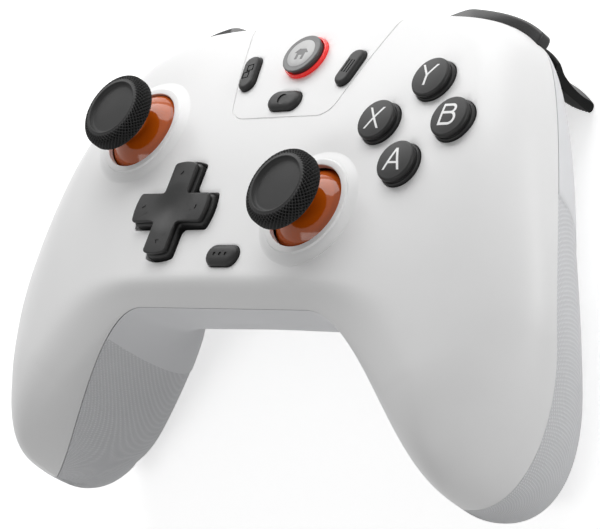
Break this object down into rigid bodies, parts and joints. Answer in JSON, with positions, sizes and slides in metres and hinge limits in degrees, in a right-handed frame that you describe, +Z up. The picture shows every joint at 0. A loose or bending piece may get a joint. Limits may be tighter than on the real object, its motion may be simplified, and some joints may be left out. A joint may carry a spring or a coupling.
{
  "type": "gamepad controller",
  "caption": "Handheld gamepad: a shelled body with grips, thumb sticks, a cross pad, face buttons, bumpers and triggers.",
  "frame": {"origin": "centre of the bounding box's footprint, on the table that the pad lies on", "axes": "+X to the right grip, +Y to the bumpers and triggers, +Z up from the table"},
  "size_m": [0.155, 0.1068, 0.0534],
  "materials": {
    "shell_white": "satin moulded",
    "shell_grey": "fine moulded texture",
    "ring_white": "gloss",
    "cap_rubber": "knurled rim, smooth dish",
    "stem_orange": "gloss",
    "control_charcoal": "satin",
    "home_grey": "satin",
    "light_red": "translucent",
    "shoulder_black": "gloss",
    "steel": "plain",
    "inner_plastic": "plain moulded",
    "mat_rubber": "matt",
    "board_green": "solder mask",
    "battery_wrap": "wrapped pouch cell",
    "weight_metal": "sintered"
  },
  "bodies": {
    "case": {"front_shell": "shell_white", "rear_shell": "shell_grey", "left_stick_ring": "ring_white", "right_stick_ring": "ring_white", "left_stick_module": "inner_plastic", "right_stick_module": "inner_plastic", "dpad_post": "inner_plastic", "home_light_ring": "light_red", "left_trigger_pin": "steel", "right_trigger_pin": "steel", "left_trigger_spring": "steel", "right_trigger_spring": "steel", "left_trigger_bracket": "inner_plastic", "right_trigger_bracket": "inner_plastic", "face_button_membrane": "mat_rubber", "dpad_membrane": "mat_rubber", "main_board": "board_green", "tact_switches": "inner_plastic", "battery": "battery_wrap", "left_rumble_motor": "steel", "right_rumble_motor": "steel", "usb_port": "steel", "case_screws": "steel", "board_screws": "steel"},
    "left_stick_yoke": {"left_stick_yoke": "inner_plastic"},
    "left_stick_shaft": {"left_stick_shaft": "steel"},
    "left_stick": {"left_stick_cap": "cap_rubber", "left_stick_stem": "stem_orange"},
    "right_stick_yoke": {"right_stick_yoke": "inner_plastic"},
    "right_stick_shaft": {"right_stick_shaft": "steel"},
    "right_stick": {"right_stick_cap": "cap_rubber", "right_stick_stem": "stem_orange"},
    "dpad_pivot": {"dpad_pivot": "steel"},
    "dpad": {"dpad": "control_charcoal"},
    "button_a": {"button_a": "control_charcoal"},
    "button_b": {"button_b": "control_charcoal"},
    "button_x": {"button_x": "control_charcoal"},
    "button_y": {"button_y": "control_charcoal"},
    "view_button": {"view_button": "control_charcoal"},
    "menu_button": {"menu_button": "control_charcoal"},
    "share_button": {"share_button": "control_charcoal"},
    "macro_button": {"macro_button": "control_charcoal"},
    "home_button": {"home_button": "home_grey"},
    "left_bumper": {"left_bumper": "shoulder_black"},
    "left_trigger": {"left_trigger": "shoulder_black"},
    "left_rumble_weight": {"left_rumble_weight": "weight_metal"},
    "right_bumper": {"right_bumper": "shoulder_black"},
    "right_trigger": {"right_trigger": "shoulder_black"},
    "right_rumble_weight": {"right_rumble_weight": "weight_metal"}
  },
  "joints": [
    {"name": "left_stick_up_down", "type": "hinge", "parent": "case", "child": "left_stick_yoke", "pos_m": [-0.0416, 0.02283, 0.02842], "axis": [1, 0, 0], "range_deg": [-18, 18], "stiffness_Nm_per_rad": 0.06},
    {"name": "left_stick_left_right", "type": "hinge", "parent": "left_stick_yoke", "child": "left_stick_shaft", "pos_m": [-0.0416, 0.02283, 0.02842], "axis": [0, 0.9728, -0.2317], "range_deg": [-18, 18], "stiffness_Nm_per_rad": 0.06},
    {"name": "left_stick_click", "type": "slide", "parent": "left_stick_shaft", "child": "left_stick", "axis": [0, -0.2317, -0.9728], "range_m": [0, 0.0004], "stiffness_N_per_m": 4000},
    {"name": "right_stick_up_down", "type": "hinge", "parent": "case", "child": "right_stick_yoke", "pos_m": [0.0198, 0.00309, 0.03312], "axis": [1, 0, 0], "range_deg": [-18, 18], "stiffness_Nm_per_rad": 0.06},
    {"name": "right_stick_left_right", "type": "hinge", "parent": "right_stick_yoke", "child": "right_stick_shaft", "pos_m": [0.0198, 0.00309, 0.03312], "axis": [0, 0.9728, -0.2317], "range_deg": [-18, 18], "stiffness_Nm_per_rad": 0.06},
    {"name": "right_stick_click", "type": "slide", "parent": "right_stick_shaft", "child": "right_stick", "axis": [0, -0.2317, -0.9728], "range_m": [0, 0.0004], "stiffness_N_per_m": 4000},
    {"name": "dpad_up_down", "type": "hinge", "parent": "case", "child": "dpad_pivot", "pos_m": [-0.02, 0.0036, 0.03701], "axis": [1, 0, 0], "range_deg": [-5, 5], "stiffness_Nm_per_rad": 0.08, "deforming": ["dpad_membrane"]},
    {"name": "dpad_left_right", "type": "hinge", "parent": "dpad_pivot", "child": "dpad", "pos_m": [-0.02, 0.0036, 0.03701], "axis": [0, 0.9728, -0.2317], "range_deg": [-5, 5], "stiffness_Nm_per_rad": 0.08, "deforming": ["dpad_membrane"]},
    {"name": "button_a_press", "type": "slide", "parent": "case", "child": "button_a", "axis": [0, -0.2317, -0.9728], "range_m": [0, 0.0015], "stiffness_N_per_m": 500, "deforming": ["face_button_membrane"]},
    {"name": "button_b_press", "type": "slide", "parent": "case", "child": "button_b", "axis": [0, -0.2317, -0.9728], "range_m": [0, 0.0015], "stiffness_N_per_m": 500, "deforming": ["face_button_membrane"]},
    {"name": "button_x_press", "type": "slide", "parent": "case", "child": "button_x", "axis": [0, -0.2317, -0.9728], "range_m": [0, 0.0015], "stiffness_N_per_m": 500, "deforming": ["face_button_membrane"]},
    {"name": "button_y_press", "type": "slide", "parent": "case", "child": "button_y", "axis": [0, -0.2317, -0.9728], "range_m": [0, 0.0015], "stiffness_N_per_m": 500, "deforming": ["face_button_membrane"]},
    {"name": "view_press", "type": "slide", "parent": "case", "child": "view_button", "axis": [0, -0.2317, -0.9728], "range_m": [0, 0.0006], "stiffness_N_per_m": 1000},
    {"name": "menu_press", "type": "slide", "parent": "case", "child": "menu_button", "axis": [0, -0.2317, -0.9728], "range_m": [0, 0.0006], "stiffness_N_per_m": 1000},
    {"name": "share_press", "type": "slide", "parent": "case", "child": "share_button", "axis": [0, -0.2317, -0.9728], "range_m": [0, 0.0006], "stiffness_N_per_m": 1000},
    {"name": "macro_press", "type": "slide", "parent": "case", "child": "macro_button", "axis": [0, -0.2317, -0.9728], "range_m": [0, 0.0006], "stiffness_N_per_m": 1000},
    {"name": "home_press", "type": "slide", "parent": "case", "child": "home_button", "axis": [0, -0.2317, -0.9728], "range_m": [0, 0.0006], "stiffness_N_per_m": 1000},
    {"name": "left_bumper_press", "type": "hinge", "parent": "case", "child": "left_bumper", "pos_m": [-0.02751, 0.04705, 0.01766], "axis": [0, 0.2317, 0.9728], "range_deg": [0, 1.8], "stiffness_Nm_per_rad": 2},
    {"name": "left_trigger_pull", "type": "hinge", "parent": "case", "child": "left_trigger", "pos_m": [-0.042, 0.03511, 0.01305], "axis": [-1, 0, 0], "range_deg": [0, 18], "stiffness_Nm_per_rad": 0.06, "springref_deg": -17.19},
    {"name": "left_rumble_spin", "type": "hinge", "parent": "case", "child": "left_rumble_weight", "pos_m": [-0.055, -0.01969, 0.02251], "axis": [1, 0, 0], "continuous": true},
    {"name": "right_bumper_press", "type": "hinge", "parent": "case", "child": "right_bumper", "pos_m": [0.02751, 0.04705, 0.01766], "axis": [0, -0.2317, -0.9728], "range_deg": [0, 1.8], "stiffness_Nm_per_rad": 2},
    {"name": "right_trigger_pull", "type": "hinge", "parent": "case", "child": "right_trigger", "pos_m": [0.042, 0.03511, 0.01305], "axis": [-1, 0, 0], "range_deg": [0, 18], "stiffness_Nm_per_rad": 0.06, "springref_deg": -17.19},
    {"name": "right_rumble_spin", "type": "hinge", "parent": "case", "child": "right_rumble_weight", "pos_m": [0.055, -0.01969, 0.02251], "axis": [1, 0, 0], "continuous": true}
  ]
}
